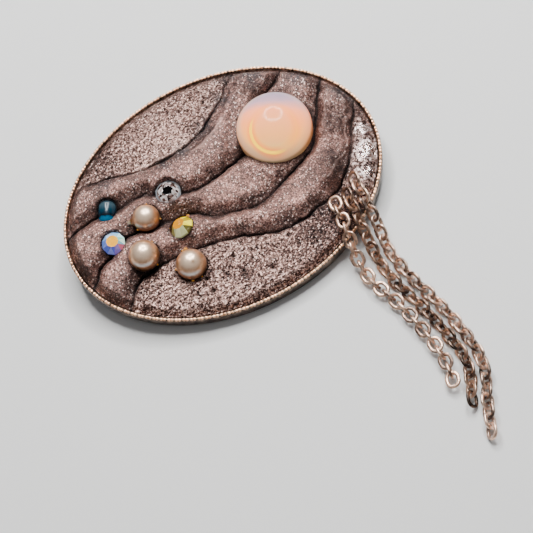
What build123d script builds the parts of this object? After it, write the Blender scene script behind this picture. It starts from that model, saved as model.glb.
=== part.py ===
from build123d import *
import math
import os

# Moon brooch: an oval metal tray filled with folded clay, set with a moon cabochon, pearls and
# small stones, and hung with three strands of cable chain. Millimetres, +Z up from the table.
#
# Two frames are used. The brooch frame has u along the oval's length, v along its width and w
# square to its back, from the centre of the back plate's underside. The table frame is the
# part's own: the brooch leans in it on its near edge and on the pin behind it.

# Tray
tray_length = 42.0
tray_width = 31.8
tray_height = 2.0
tray_wall = 0.5
tray_floor = 0.6
tray_corner = 0.35

# Clay: levels are over the rim's top, the depth of the edge is under it
clay_gap = 0.08
clay_edge_drop = 0.35
clay_edge_width = 0.9
clay_crown = 0.25
fold_rise = 1.0
facet_size = 0.66
groove_pull = 0.2

# Cabochon
moon_diameter = 9.6
moon_height = 4.0
moon_girdle = 0.9
moon_shoulder = 2.2
moon_sink = 1.15
moon_bed_depth = 0.25
moon_bed_width = 0.7

# Pearls
pearl_diameter = 3.9
small_pearl_diameter = 3.5
pearl_show = 0.62
nib_radius = 0.55
nib_tip_radius = 0.1
nib_length = 1.1
nib_root = 1.47

# Cut stones
clear_diameter = 3.3
rainbow_diameter = 3.0
yellow_diameter = 3.1
stone_facets = 10
stone_girdle = 0.25
crown_height = 0.75
back_height = 1.1
table_share = 0.52
clear_table_share = 0.40
culet_share = 0.2

# Teal bead
bead_length = 2.9
bead_diameter = 2.2
bead_edge = 0.85
bead_show = 0.15

# Clearance round every set piece
seat_gap = 0.06

# Brooch pin
pin_bar_length = 30.0
pin_bar_width = 4.4
pin_bar_thickness = 0.7
pin_height = 3.0
pin_offset = 7.0
pin_barrel_length = 3.0
pin_barrel_radius = 1.2
pin_barrel_inset = 2.2
pin_stem_diameter = 0.8
glue_gap = 0.05

# Chain
link_length = 2.25
link_width = 1.85
link_wire = 0.42
link_play = 0.145
link_sway = 6.0
link_sway_step = 1.7

half_length = tray_length / 2
half_width = tray_width / 2
clay_half_length = half_length - tray_wall - clay_gap
clay_half_width = half_width - tray_wall - clay_gap

# The near ends of the pin's barrels and the tray's near edge stand on the table: that is the lean.
pin_foot = pin_offset - pin_barrel_length / 2
edge_foot = half_width - tray_corner
lean = math.degrees(math.atan(pin_height / (edge_foot + pin_foot)))
lift = edge_foot * math.sin(math.radians(lean)) + tray_corner * (1 - math.cos(math.radians(lean)))
leaning = Location((0, 0, lift), (lean, 0, 0))

# Cylinders and cones that stand on the level they are placed at
STANDING = (Align.CENTER, Align.CENTER, Align.MIN)

# Grooves between the folds, from left to right, as shares of the tray's half length and half
# width. Each has its depth, the width over which the folds round down into it, and how far the
# clay beyond it, on its outer side, lies lower than the folds.
GROOVES = {
    "upper_crescent": dict(
        depth=0.55, spread=0.85, outer=1, drop=0.60,
        line=[(-0.86, 0.60), (-0.77, 0.575), (-0.66, 0.545), (-0.50, 0.50), (-0.31, 0.44),
              (-0.14, 0.45), (0.01, 0.495), (0.13, 0.59), (0.25, 0.705), (0.36, 0.85), (0.41, 0.93)],
    ),
    "upper_fold": dict(
        depth=0.95, spread=1.05, outer=0, drop=0.0,
        line=[(-0.98, 0.20), (-0.94, 0.23), (-0.77, 0.275), (-0.61, 0.265), (-0.46, 0.27),
              (-0.36, 0.225), (-0.21, 0.12), (-0.11, 0.10), (0.01, 0.115), (0.13, 0.155), (0.23, 0.18)],
    ),
    "middle_fold": dict(
        depth=0.90, spread=1.00, outer=0, drop=0.0,
        line=[(-0.96, -0.29), (-0.86, -0.155), (-0.77, -0.085), (-0.64, 0.00), (-0.50, -0.01),
              (-0.36, -0.05), (-0.23, -0.055), (-0.09, -0.185), (0.03, -0.23), (0.16, -0.26),
              (0.29, -0.21), (0.39, -0.155), (0.50, -0.10), (0.585, -0.045), (0.645, 0.06),
              (0.69, 0.17), (0.74, 0.27), (0.79, 0.38), (0.85, 0.50)],
    ),
    "lower_crescent": dict(
        depth=1.00, spread=1.10, outer=-1, drop=0.65,
        line=[(-0.81, -0.57), (-0.77, -0.50), (-0.69, -0.40), (-0.61, -0.355), (-0.52, -0.335),
              (-0.41, -0.345), (-0.27, -0.355), (-0.17, -0.38), (-0.08, -0.41), (0.06, -0.475),
              (0.17, -0.525), (0.30, -0.54), (0.41, -0.515), (0.52, -0.495), (0.58, -0.45),
              (0.64, -0.41), (0.70, -0.335), (0.76, -0.255), (0.83, -0.12), (0.88, 0.02), (0.97, 0.22)],
    ),
    "moon_fold": dict(
        depth=0.70, spread=0.60, outer=0, drop=0.0,
        line=[(0.66, 0.74), (0.64, 0.70), (0.59, 0.64), (0.52, 0.62)],
    ),
}

# Dents: place as shares, radius and depth in millimetres.
DENTS = [
    dict(name="chain pocket", u=0.63, v=-0.43, radius=1.5, depth=0.75),
    dict(name="yellow stone's pocket", u=-0.27, v=-0.10, radius=1.3, depth=0.45),
    dict(name="teal bead's pocket", u=-0.63, v=0.30, radius=1.2, depth=0.35),
    dict(name="dent in the middle fold", u=0.21, v=-0.08, radius=1.1, depth=0.30),
]

# Places of the set pieces, as shares of the tray's half length and half width.
MOON_PLACE = (0.451, 0.249)
PEARLS = {
    "pearl_upper": (-0.475, 0.043),
    "pearl_left": (-0.585, -0.239),
    "pearl_lower": (-0.363, -0.470),
}
CLEAR_PLACE = (-0.289, 0.182)
RAINBOW_PLACE = (-0.715, -0.002)
YELLOW_PLACE = (-0.313, -0.152)
BEAD_PLACE = (-0.665, 0.279)
YELLOW_TILT = -28.0
YELLOW_TURN = 35.0
PEARL_NIB_HEADING = 165.0
BEAD_HEADING = 64.0

# Each strand's route in the table frame, before the part is centred: across, towards the far
# side, up. ``roll`` is how far its first link is turned about the route.
STRANDS = {
    "chain_left": dict(
        roll=15.0,
        route=[(11.5, -8.9, 4.2), (11.4, -10.7, 4.15), (11.2, -12.4, 3.9), (10.9, -14.2, 3.3),
               (10.7, -16.2, 1.8), (10.7, -18.2, 0.98), (11.1, -20.4, 0.96), (11.9, -22.6, 0.96),
               (12.6, -25.0, 0.96), (13.1, -27.5, 0.96), (13.5, -30.1, 0.96), (13.7, -32.6, 0.96),
               (13.5, -35.2, 0.96), (12.9, -37.3, 0.96)],
    ),
    "chain_middle": dict(
        roll=45.0,
        route=[(13.3, -8.6, 4.2), (13.2, -10.4, 4.1), (13.1, -12.2, 3.8), (13.0, -13.9, 2.9),
               (12.9, -15.9, 1.5), (12.9, -17.8, 0.825), (13.1, -20.0, 0.805), (13.6, -22.2, 0.805),
               (14.25, -24.4, 0.805), (14.8, -26.8, 0.805), (15.3, -29.2, 0.805), (15.6, -31.4, 0.805),
               (15.9, -33.4, 0.805), (15.7, -35.4, 0.805), (15.1, -37.2, 0.805), (14.3, -38.9, 0.805),
               (13.6, -41.0, 0.805)],
    ),
    "chain_right": dict(
        roll=45.0,
        route=[(15.0, -7.2, 4.45), (14.9, -9.2, 4.35), (14.9, -11.0, 4.05), (14.9, -12.8, 3.35),
               (14.8, -14.6, 2.1), (14.6, -16.6, 0.98), (14.8, -18.8, 0.805), (15.2, -21.2, 0.805),
               (15.85, -23.8, 0.805), (16.5, -26.3, 0.805), (17.0, -28.8, 0.805), (17.3, -31.0, 0.805),
               (17.55, -33.4, 0.805), (17.4, -35.6, 0.805), (16.9, -37.6, 0.805), (16.0, -39.4, 0.805),
               (15.2, -41.2, 0.805), (14.6, -42.8, 0.805), (14.1, -44.2, 0.805), (13.7, -45.2, 0.805)],
    ),
}


def nearest_on_line(line, u, v):
    """Distance from a line of points to u, v, the side it lies on, and the nearest point."""
    best = (math.inf, 1.0, (0.0, 0.0))
    for (u0, v0), (u1, v1) in zip(line, line[1:]):
        along_u, along_v = u1 - u0, v1 - v0
        share = ((u - u0) * along_u + (v - v0) * along_v) / (along_u**2 + along_v**2)
        share = min(1.0, max(0.0, share))
        foot = (u0 + share * along_u, v0 + share * along_v)
        distance = math.hypot(u - foot[0], v - foot[1])
        if distance < best[0]:
            side = math.copysign(1.0, along_u * (v - foot[1]) - along_v * (u - foot[0]))
            best = (distance, side, foot)
    return best


def ramp(value):
    """Smooth step from 0 to 1 while value goes from 0 to 1."""
    value = min(1.0, max(0.0, value))
    return value * value * (3 - 2 * value)


GROOVE_LINES = {
    name: [(u * half_length, v * half_width) for u, v in groove["line"]]
    for name, groove in GROOVES.items()
}


def clay_top(u, v):
    """Height of the clay's surface over the underside of the tray, in the brooch frame."""
    edge = math.hypot(u / clay_half_length, v / clay_half_width)
    inwards = (1 - edge) * clay_half_width
    rise = fold_rise
    cut = 0.0
    for name, groove in GROOVES.items():
        distance, side, _ = nearest_on_line(GROOVE_LINES[name], u, v)
        round_down = math.exp(-((distance / groove["spread"]) ** 2))
        cut = max(cut, groove["depth"] * round_down)
        if groove["outer"] == side:
            rise -= groove["drop"] * ramp(distance / groove["spread"])
    for dent in DENTS:
        away = math.hypot(u - dent["u"] * half_length, v - dent["v"] * half_width)
        cut += dent["depth"] * math.exp(-((away / dent["radius"]) ** 2))
    from_moon = math.hypot(u - MOON_PLACE[0] * half_length, v - MOON_PLACE[1] * half_width)
    from_moon = max(0.0, from_moon - moon_diameter / 2)
    cut += moon_bed_depth * math.exp(-((from_moon / moon_bed_width) ** 2))
    bed = tray_height + clay_crown * (1 - edge**2) - clay_edge_drop
    inside = ramp(inwards / clay_edge_width)
    return bed + inside * (clay_edge_drop + rise - cut)


def clay_grid():
    """Corners of the clay's facets: a square grid bent into the tray's oval."""
    columns = 2 * round(clay_half_length / facet_size)
    rows = 2 * round(clay_half_width / facet_size)
    grid = []
    for i in range(columns + 1):
        x = 2 * i / columns - 1
        column = []
        for j in range(rows + 1):
            y = 2 * j / rows - 1
            u = clay_half_length * x * math.sqrt(1 - y * y / 2)
            v = clay_half_width * y * math.sqrt(1 - x * x / 2)
            on_edge = i in (0, columns) or j in (0, rows)
            if not on_edge:
                u, v = pulled_to_groove(u, v)
            column.append((u, v, clay_top(u, v)))
        grid.append(column)
    return grid


def pulled_to_groove(u, v):
    """A corner close to a groove is moved onto it, so that the groove is one clean line."""
    for line in GROOVE_LINES.values():
        distance, _, foot = nearest_on_line(line, u, v)
        if distance < groove_pull:
            return foot
    return u, v


def facet(*corners):
    return Face(Wire.make_polygon([Vector(*corner) for corner in corners], close=True))


def make_clay_block():
    """The clay as a closed faceted solid with its folds, before the seats are cut."""
    grid = clay_grid()
    columns, rows = len(grid) - 1, len(grid[0]) - 1
    bottom = tray_floor + glue_gap
    faces = []
    for i in range(columns):
        for j in range(rows):
            a, b, c, d = grid[i][j], grid[i + 1][j], grid[i + 1][j + 1], grid[i][j + 1]
            if abs(a[2] - c[2]) < abs(b[2] - d[2]):
                faces += [facet(a, b, c), facet(a, c, d)]
            else:
                faces += [facet(a, b, d), facet(b, c, d)]
    rim = [grid[i][0] for i in range(columns)]
    rim += [grid[columns][j] for j in range(rows)]
    rim += [grid[i][rows] for i in range(columns, 0, -1)]
    rim += [grid[0][j] for j in range(rows, 0, -1)]
    foot = [(u, v, bottom) for u, v, _ in rim]
    for k in range(len(rim)):
        n = (k + 1) % len(rim)
        faces.append(facet(rim[k], foot[k], foot[n], rim[n]))
    faces.append(facet(*foot))
    return Solid(Shell(faces))


def make_tray():
    body = extrude(Ellipse(half_length, half_width), amount=tray_height)
    body = fillet(body.edges().group_by(Axis.Z)[0], radius=tray_corner)
    well = extrude(Ellipse(half_length - tray_wall, half_width - tray_wall), amount=tray_height)
    return leaning * (body - Pos(0, 0, tray_floor) * well)


def make_pin_back():
    """Bar, two barrels on their webs and the stem between them, all one piece."""
    bar_bottom = -glue_gap - pin_bar_thickness
    bar = extrude(SlotOverall(pin_bar_length, pin_bar_width), amount=pin_bar_thickness)
    pin = Pos(0, pin_offset, bar_bottom) * bar
    reach = pin_bar_length / 2 - pin_barrel_inset
    axis_level = pin_barrel_radius - pin_height
    for side in (-1, 1):
        centre = Pos(side * reach, pin_offset, axis_level)
        pin += centre * Rot(90, 0, 0) * Cylinder(pin_barrel_radius, pin_barrel_length)
        web_height = bar_bottom - axis_level
        web = Box(2 * pin_barrel_radius, pin_barrel_length, web_height)
        pin += centre * Pos(0, 0, web_height / 2) * web
    stem = Rot(0, 90, 0) * Cylinder(pin_stem_diameter / 2, 2 * reach)
    pin += Pos(0, pin_offset, axis_level) * stem
    return leaning * pin


def place(share_u, share_v):
    """The point on the clay, in the brooch frame, at a place given as shares of the tray."""
    u, v = share_u * half_length, share_v * half_width
    return Pos(u, v, clay_top(u, v))


def moon_place():
    u, v = MOON_PLACE[0] * half_length, MOON_PLACE[1] * half_width
    return Pos(u, v, tray_height + fold_rise - moon_sink)


def make_moon():
    """A cabochon: flat base, short upright girdle, and a dome of two arcs that run into each other."""
    radius, dome = moon_diameter / 2, moon_height - moon_girdle
    crown_radius = (radius**2 + dome**2 - 2 * radius * moon_shoulder) / (2 * (dome - moon_shoulder))
    reach, drop = radius - moon_shoulder, crown_radius - dome
    stretch = crown_radius / math.hypot(reach, drop)
    meeting = (reach * stretch, moon_girdle - drop + drop * stretch)
    base = Polyline((0, 0), (radius, 0), (radius, moon_girdle))
    shoulder = TangentArc((radius, moon_girdle), meeting, tangent=(0, 1))
    crown = TangentArc(meeting, (0, moon_height), tangent=shoulder % 1)
    profile = make_face(base + shoulder + crown + Line((0, moon_height), (0, 0)))
    return revolve(Plane.XZ * profile, Axis.Z)


def pearl_centre(name):
    diameter = small_pearl_diameter if name == "pearl_upper" else pearl_diameter
    return place(*PEARLS[name]) * Pos(0, 0, (pearl_show - 0.5) * diameter), diameter


def make_pearl(name, gap=0.0):
    """A pearl, or with a gap what is cut from the clay for it. The upper one has a nib."""
    centre, diameter = pearl_centre(name)
    pearl = Sphere(diameter / 2 + gap)
    if name == "pearl_upper":
        nib = Cone(nib_radius + gap, nib_tip_radius + gap, nib_length + gap, align=STANDING)
        pearl += Rot(0, 0, PEARL_NIB_HEADING) * Rot(0, 90, 0) * Pos(0, 0, nib_root) * nib
    return centre * pearl


def polygon(radius, level, turn=0.0):
    """Corners of one round of a cut stone."""
    step = 360 / stone_facets
    angles = [math.radians(turn * step + k * step) for k in range(stone_facets)]
    return [(radius * math.cos(a), radius * math.sin(a), level) for a in angles]


def make_cut_stone(diameter, table_share):
    """A stone with a flat table, two rounds of crown facets, a girdle and a faceted back."""
    radius = diameter / 2
    table = polygon(table_share * radius, crown_height, 0.5)
    girdle_top = polygon(radius, 0.0)
    girdle_foot = polygon(radius, -stone_girdle)
    culet = polygon(culet_share * radius, -stone_girdle - back_height)
    faces = [facet(*table), facet(*culet)]
    for k in range(stone_facets):
        n = (k + 1) % stone_facets
        faces.append(facet(girdle_top[k], girdle_top[n], table[k]))
        faces.append(facet(table[k], girdle_top[n], table[n]))
        faces.append(facet(girdle_top[k], girdle_foot[k], girdle_foot[n], girdle_top[n]))
        faces.append(facet(girdle_foot[k], culet[k], culet[n], girdle_foot[n]))
    return Solid(Shell(faces))


def stone_seat(diameter):
    """What is cut from the clay for a cut stone: a cone under its back and a well above it."""
    radius = diameter / 2 + seat_gap
    depth = back_height + 2 * seat_gap
    cone = Cone(culet_share * diameter / 2 + seat_gap, radius, depth, align=STANDING)
    well = Cylinder(radius, stone_girdle + crown_height, align=STANDING)
    return Pos(0, 0, -stone_girdle - depth) * cone + Pos(0, 0, -stone_girdle) * well


STONES = {
    "clear_stone": dict(
        place=CLEAR_PLACE, diameter=clear_diameter, table=clear_table_share, tilt=0.0, turn=0.0,
    ),
    "rainbow_stone": dict(
        place=RAINBOW_PLACE, diameter=rainbow_diameter, table=table_share, tilt=0.0, turn=0.0,
    ),
    "yellow_stone": dict(
        place=YELLOW_PLACE, diameter=yellow_diameter, table=table_share, tilt=YELLOW_TILT,
        turn=YELLOW_TURN,
    ),
}


def stone_place(stone):
    tilted = Rot(0, 0, stone["turn"]) * Rot(stone["tilt"], 0, 0)
    return place(*stone["place"]) * Pos(0, 0, stone_girdle / 2) * tilted


def bead_place():
    return place(*BEAD_PLACE) * Pos(0, 0, bead_show) * Rot(0, 0, BEAD_HEADING) * Rot(0, 90, 0)


def make_bead():
    bead = Cylinder(bead_diameter / 2, bead_length)
    return bead_place() * fillet(bead.edges().filter_by(GeomType.CIRCLE), radius=bead_edge)


def make_clay():
    """The clay block with a seat cut for every set piece."""
    moon_seat = Cylinder(moon_diameter / 2 + seat_gap, moon_height, align=STANDING)
    seats = [moon_place() * Pos(0, 0, -seat_gap) * moon_seat]
    seats += [make_pearl(name, seat_gap) for name in PEARLS]
    for stone in STONES.values():
        seats.append(stone_place(stone) * stone_seat(stone["diameter"]))
    seats.append(bead_place() * Cylinder(bead_diameter / 2 + seat_gap, bead_length + 2 * seat_gap))
    return leaning * (make_clay_block() - seats)


def make_link():
    """One oval link of round wire, long along X and lying in the XY plane."""
    line = SlotCenterToCenter(link_length - link_width, link_width - link_wire).wire()
    section = Plane(origin=line @ 0, z_dir=line % 0) * Circle(link_wire / 2)
    return sweep(section, path=line)


def strand_joints(route):
    """Points a link's pitch apart along a smooth route, where each link holds the next."""
    path = Spline(*route)
    pitch = link_length - 2 * link_wire - link_play
    joints = [path.position_at(0.0)]
    reached = 0.0
    while True:
        reached += pitch
        for _ in range(3):
            reached += pitch - (path.position_at(reached / path.length) - joints[-1]).length
        if reached > path.length:
            return joints
        joints.append(path.position_at(reached / path.length))


def make_strand(strand, link):
    """Links along a route, each turned a quarter from the one before and swaying a little."""
    links = []
    joints = strand_joints(strand["route"])
    for k, (start, end) in enumerate(zip(joints, joints[1:])):
        along = (end - start).normalized()
        across = along.cross(Vector(0, 0, 1)).normalized()
        up = across.cross(along)
        roll = strand["roll"] + 90 * (k % 2) + link_sway * math.sin(k * link_sway_step)
        normal = up * math.cos(math.radians(roll)) + across * math.sin(math.radians(roll))
        where = Plane(origin=(start + end) / 2, x_dir=along, z_dir=normal)
        links.append(Location(where) * link)
    return links


def make_parts():
    parts = {
        "tray": [make_tray()],
        "pin_back": [make_pin_back()],
        "clay": [make_clay()],
        "moon_cabochon": [leaning * moon_place() * make_moon()],
        "teal_bead": [leaning * make_bead()],
    }
    for name in PEARLS:
        parts[name] = [leaning * make_pearl(name)]
    for name, stone in STONES.items():
        parts[name] = [leaning * stone_place(stone) * make_cut_stone(stone["diameter"], stone["table"])]
    link = make_link()
    for name, strand in STRANDS.items():
        parts[name] = make_strand(strand, link)
    return parts


def main():
    parts = make_parts()
    box = Compound([solid for solids in parts.values() for solid in solids]).bounding_box()
    centred = Pos(-box.center().X, -box.center().Y, -box.min.Z)
    os.makedirs("parts", exist_ok=True)
    for name, solids in parts.items():
        moved = [centred * solid for solid in solids]
        export_step(moved[0] if len(moved) == 1 else Compound(moved), f"parts/{name}.step")


main()
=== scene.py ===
import math

import bpy
import numpy as np
from mathutils import Matrix, Vector


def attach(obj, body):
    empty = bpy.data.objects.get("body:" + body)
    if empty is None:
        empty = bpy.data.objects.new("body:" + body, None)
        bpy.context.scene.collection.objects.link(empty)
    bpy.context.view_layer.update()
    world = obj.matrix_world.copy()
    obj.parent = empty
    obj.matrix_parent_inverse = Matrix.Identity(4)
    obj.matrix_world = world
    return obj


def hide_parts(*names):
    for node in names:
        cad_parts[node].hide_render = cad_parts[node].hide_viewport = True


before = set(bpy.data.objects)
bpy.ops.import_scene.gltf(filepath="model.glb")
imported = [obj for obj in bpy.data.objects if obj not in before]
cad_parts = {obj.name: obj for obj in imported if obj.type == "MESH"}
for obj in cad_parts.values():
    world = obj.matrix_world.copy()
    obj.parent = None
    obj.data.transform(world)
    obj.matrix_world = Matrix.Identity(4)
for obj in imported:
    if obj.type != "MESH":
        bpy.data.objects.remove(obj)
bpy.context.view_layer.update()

# Sizes are in millimetres and become metres where a mesh or a material is made.
MM = 0.001

# Tray
TRAY_LENGTH, TRAY_WIDTH, TRAY_HEIGHT = 42.0, 31.8, 2.0
TRAY_WALL, TRAY_FLOOR, TRAY_CORNER = 0.5, 0.6, 0.35
HALF_LENGTH, HALF_WIDTH = TRAY_LENGTH / 2, TRAY_WIDTH / 2
TOOTH_PITCH, TOOTH_PAIRING = 0.47, 0.08
TOOTH_LENGTH, TOOTH_WIDTH, TOOTH_RISE = 0.38, 0.355, 0.14
BAND_WIDTH, BAND_STEP = 0.36, 0.28
TRAY_SKIN = 0.002
TRAY_TURNS, TOOTH_LINE_TURNS = 480, 1440

# Clay
CLAY_GAP, CLAY_FOOT_GAP, CLAY_EDGE_DROP, CLAY_EDGE_WIDTH = 0.08, 0.05, 0.35, 0.9
CLAY_CROWN, FOLD_RISE = 0.25, 1.0
CLAY_HALF_LENGTH = HALF_LENGTH - TRAY_WALL - CLAY_GAP
CLAY_HALF_WIDTH = HALF_WIDTH - TRAY_WALL - CLAY_GAP
CLAY_COLUMNS, CLAY_ROWS = 356, 264

# Grooves between the folds, as shares of the tray's half length and half width. ``cut`` is the
# narrow crease at the bottom of the groove and also sets how dark the groove's painted shade is,
# and ``falls`` the side on which the fold rounds down to it slowly. On its ``outer`` side a
# crescent lies lower by its ``drop``.
GROOVES = {
    "upper_crescent": dict(
        depth=0.55, spread=0.85, outer=1, drop=0.60, cut=0.30, falls=-1,
        line=[(-0.86, 0.60), (-0.77, 0.575), (-0.66, 0.545), (-0.50, 0.50), (-0.31, 0.44),
              (-0.14, 0.45), (0.01, 0.495), (0.13, 0.59), (0.25, 0.705), (0.36, 0.85), (0.41, 0.93)],
    ),
    "upper_fold": dict(
        depth=0.95, spread=1.05, cut=0.45, falls=1,
        line=[(-0.98, 0.20), (-0.94, 0.23), (-0.77, 0.275), (-0.61, 0.265), (-0.46, 0.27),
              (-0.36, 0.225), (-0.21, 0.12), (-0.11, 0.10), (0.01, 0.115), (0.13, 0.155), (0.23, 0.18)],
    ),
    "middle_fold": dict(
        depth=0.90, spread=1.00, cut=0.45, falls=1,
        line=[(-0.96, -0.29), (-0.86, -0.155), (-0.77, -0.085), (-0.64, 0.00), (-0.50, -0.01),
              (-0.36, -0.05), (-0.23, -0.055), (-0.09, -0.185), (0.03, -0.23), (0.16, -0.26),
              (0.29, -0.21), (0.39, -0.155), (0.50, -0.10), (0.585, -0.045), (0.645, 0.06),
              (0.69, 0.17), (0.74, 0.27), (0.79, 0.38), (0.85, 0.50)],
    ),
    "lower_crescent": dict(
        depth=1.00, spread=1.10, outer=-1, drop=0.65, cut=0.45, falls=1,
        line=[(-0.81, -0.57), (-0.77, -0.50), (-0.69, -0.40), (-0.61, -0.355), (-0.52, -0.335),
              (-0.41, -0.345), (-0.27, -0.355), (-0.17, -0.38), (-0.08, -0.41), (0.06, -0.475),
              (0.17, -0.525), (0.30, -0.54), (0.41, -0.515), (0.52, -0.495), (0.58, -0.45),
              (0.64, -0.41), (0.70, -0.335), (0.76, -0.255), (0.83, -0.12), (0.88, 0.02), (0.97, 0.22)],
    ),
    "moon_fold": dict(
        depth=0.70, spread=0.60, cut=0.35, falls=-1,
        line=[(0.66, 0.74), (0.64, 0.68), (0.575, 0.617), (0.514, 0.585), (0.459, 0.563)],
    ),
}
DENTS = [
    dict(name="chain pocket", place=(0.63, -0.43), radius=1.5, depth=0.75),
    dict(name="yellow stone's pocket", place=(-0.27, -0.10), radius=1.3, depth=0.45),
    dict(name="teal bead's pocket", place=(-0.63, 0.30), radius=1.2, depth=0.35),
    dict(name="dent in the middle fold", place=(0.21, -0.08), radius=1.1, depth=0.30),
]
PITS = [
    (-0.317, -0.734), (-0.321, -0.619), (-0.12, -0.55), (0.22, -0.60), (-0.42, -0.80), (0.05, -0.78),
]
PIT_RADIUS, PIT_DEPTH, PIT_CREASE = 0.20, 0.22, 0.3
# A groove whose cut is FULL_CUT gets the full painted shade
CREASE_WIDTH, FULL_CUT = 0.13, 0.45

# Reach of a groove on its slow and on its steep side, as shares of its spread, and how much of
# that reach gets painted shade
SLOW_SIDE, STEEP_SIDE = 1.10, 0.65
SLOW_SHADOW, STEEP_SHADOW = 0.75, 0.5

# How far the lines stray and in what waves, how deep their creases are from place to place, how
# far from its groove the crumbs of a crescent have begun, the share of a ridge over which it ends,
# and the painted shadow inside the tray's rim with its width
WAVER, LONG_WAVE, SHORT_WAVE = 0.35, 1.3, 0.5
SHALLOW, SHALLOW_TO_DEEP, DEPTH_SIZE = 0.40, 0.80, 3.0
CRESCENT_START, RIDGE_END = 0.4, 0.15
RIM_SHADOW, RIM_SHADOW_WIDTH = 0.35, 0.45

# Swells of the folds: size of the lumps, their seed and their height
SWELLS = [(2.2, 3, 0.16), (0.9, 5, 0.07), (0.35, 8, 0.035)]

# Crumbs of the crescents, lower and of less contrast in the upper one, and the crumpled foil
CRUMB_SIZE, CRUMB_RISE, LOWEST_CRUMB, FINE_SHARE, FINE_CONTRAST = 0.25, 0.14, 0.35, 0.35, 0.84
CRUMPLE_SIZE, CRUMPLE_RISE, CRUMPLE_GRAIN = 0.9, 0.30, 0.3

# Thin ridges (height above 0) and shallow valleys (under 0) on the folds, as shares again
RIDGES = [
    dict(name="left rim of the hollow", height=0.10, spread=0.15,
         line=[(0.855, 0.305), (0.827, 0.293), (0.783, 0.205), (0.733, 0.093), (0.689, -0.004)]),
    dict(name="right rim of the hollow", height=0.11, spread=0.15,
         line=[(0.875, 0.302), (0.900, 0.227), (0.885, 0.14), (0.848, 0.019), (0.797, -0.132),
               (0.722, -0.230), (0.622, -0.320), (0.563, -0.35)]),
    dict(name="hollow", height=-0.20, spread=0.60,
         line=[(0.845, 0.228), (0.785, 0.073), (0.731, -0.085), (0.652, -0.203)]),
    dict(name="ridge in the first fold", height=0.12, spread=0.25,
         line=[(0.228, 0.541), (0.152, 0.473), (0.015, 0.401), (-0.081, 0.379)]),
    dict(name="lip of the second fold", height=0.12, spread=0.16,
         line=[(0.149, 0.126), (0.067, 0.102), (-0.023, 0.06), (-0.111, 0.052), (-0.195, 0.061)]),
    dict(name="lip of the crescent", height=0.14, spread=0.20,
         line=[(-0.042, 0.449), (-0.11, 0.446), (-0.257, 0.457), (-0.345, 0.448), (-0.505, 0.47)]),
    dict(name="valley left of the moon", height=-0.28, spread=0.60,
         line=[(0.446, 0.675), (0.358, 0.62), (0.291, 0.549), (0.237, 0.438), (0.194, 0.321),
               (0.13, 0.22)]),
    dict(name="valley along the first crescent", height=-0.25, spread=0.75,
         line=[(0.44, 0.84), (0.33, 0.74), (0.22, 0.62), (0.11, 0.53), (-0.02, 0.44), (-0.16, 0.40)]),
]

# Round places that change the clay's colour, each with its centre as shares and its radius:
# silver foil, more light flakes, painted shade, painted light and grey flecks
PLACES = {
    "foil": [(0.865, -0.27, 2.1), (0.90, -0.08, 1.1), (0.82, -0.42, 1.4)],
    "gloss": [(-0.10, 0.56, 3.4), (-0.28, 0.52, 2.6), (-0.45, -0.62, 3.0), (-0.25, -0.70, 2.6)],
    "shade": [
        (0.64, -0.23, 2.4), (0.79, 0.07, 2.8), (0.46, 0.67, 1.8), (0.50, -0.60, 2.6), (0.36, -0.68, 1.9),
        (0.62, -0.50, 1.6), (0.69, -0.33, 1.0), (0.90, 0.10, 1.5), (-0.95, -0.10, 1.7),
        (-0.62, 0.78, 2.6), (-0.29, -0.59, 0.9), (-0.20, -0.66, 1.0), (-0.11, -0.73, 0.9)],
    "bloom": [
        (-0.08, -0.33, 1.8), (0.14, -0.40, 2.0), (-0.22, -0.27, 1.1), (0.36, -0.40, 1.5),
        (0.84, 0.0, 0.8), (0.875, 0.12, 0.8), (0.80, -0.11, 0.7)],
    "fleck": [
        (0.371, 0.876, 1.5), (0.479, 0.762, 1.6), (0.257, 0.676, 1.5), (0.086, 0.523, 1.6),
        (0.913, 0.298, 1.6), (0.963, 0.219, 1.2), (0.752, 0.584, 1.8), (-0.10, 0.44, 1.2),
        (-0.24, 0.41, 1.0), (-0.60, 0.48, 1.0)],
}

# Drops of amber glue on the edges of the pearls and of the yellow stone: heading round the piece,
# height on it as a share of its radius, and the drop's own radius
GLUE_DROPS = [
    ("pearl_lower", 84.0, 0.45, 0.24), ("pearl_lower", 97.0, 0.30, 0.14),
    ("pearl_lower", 168.0, -0.10, 0.17), ("pearl_lower", -112.0, -0.25, 0.17),
    ("pearl_lower", -75.0, -0.20, 0.12),
    ("pearl_upper", 60.0, 0.40, 0.12), ("pearl_upper", 208.0, 0.0, 0.13),
    ("pearl_upper", -30.0, 0.0, 0.13), ("pearl_left", 30.0, 0.25, 0.12),
    ("pearl_left", -60.0, -0.20, 0.13),
    ("yellow_stone", 30.0, 0.25, 0.20), ("yellow_stone", 160.0, 0.0, 0.13),
]

# Set pieces and their seats. The seats' edges are sharp: corners of the clay that come within the
# pull, a share of a cell, are moved onto them.
MOON_DIAMETER, MOON_HEIGHT, MOON_GIRDLE, MOON_SHOULDER = 9.6, 4.0, 0.9, 2.2
MOON_BED_DEPTH, MOON_BED_WIDTH = 0.25, 0.7
MOON_FOOT_BEVEL = 0.1
SEAT_GAP, SEAT_EDGE, SEAT_PULL = 0.06, 0.01, 0.6
YELLOW_TILT, YELLOW_TURN = -28.0, 35.0
BEAD_HEADING, BEAD_EDGE, BEAD_SEAT = 64.0, 0.85, 1.04
STONE_SIDES, STONE_GIRDLE, CROWN_HEIGHT, BACK_HEIGHT = 10, 0.25, 0.75, 1.1
STONE_TABLE, CLEAR_TABLE, CULET = 0.52, 0.40, 0.2  # shares of a stone's radius
NIB_HEADING, NIB_LENGTH, NIB_ANGLE, NIB_ROOT = 165.0, 1.1, 0.38, 0.84  # the upper pearl's nib
PEARL_SPOTS, SPOT_SIZE = {"pearl_lower": (0.17, -0.25, 0.95)}, 0.12
NO_SPOT = (0, 0, -2)
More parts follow.
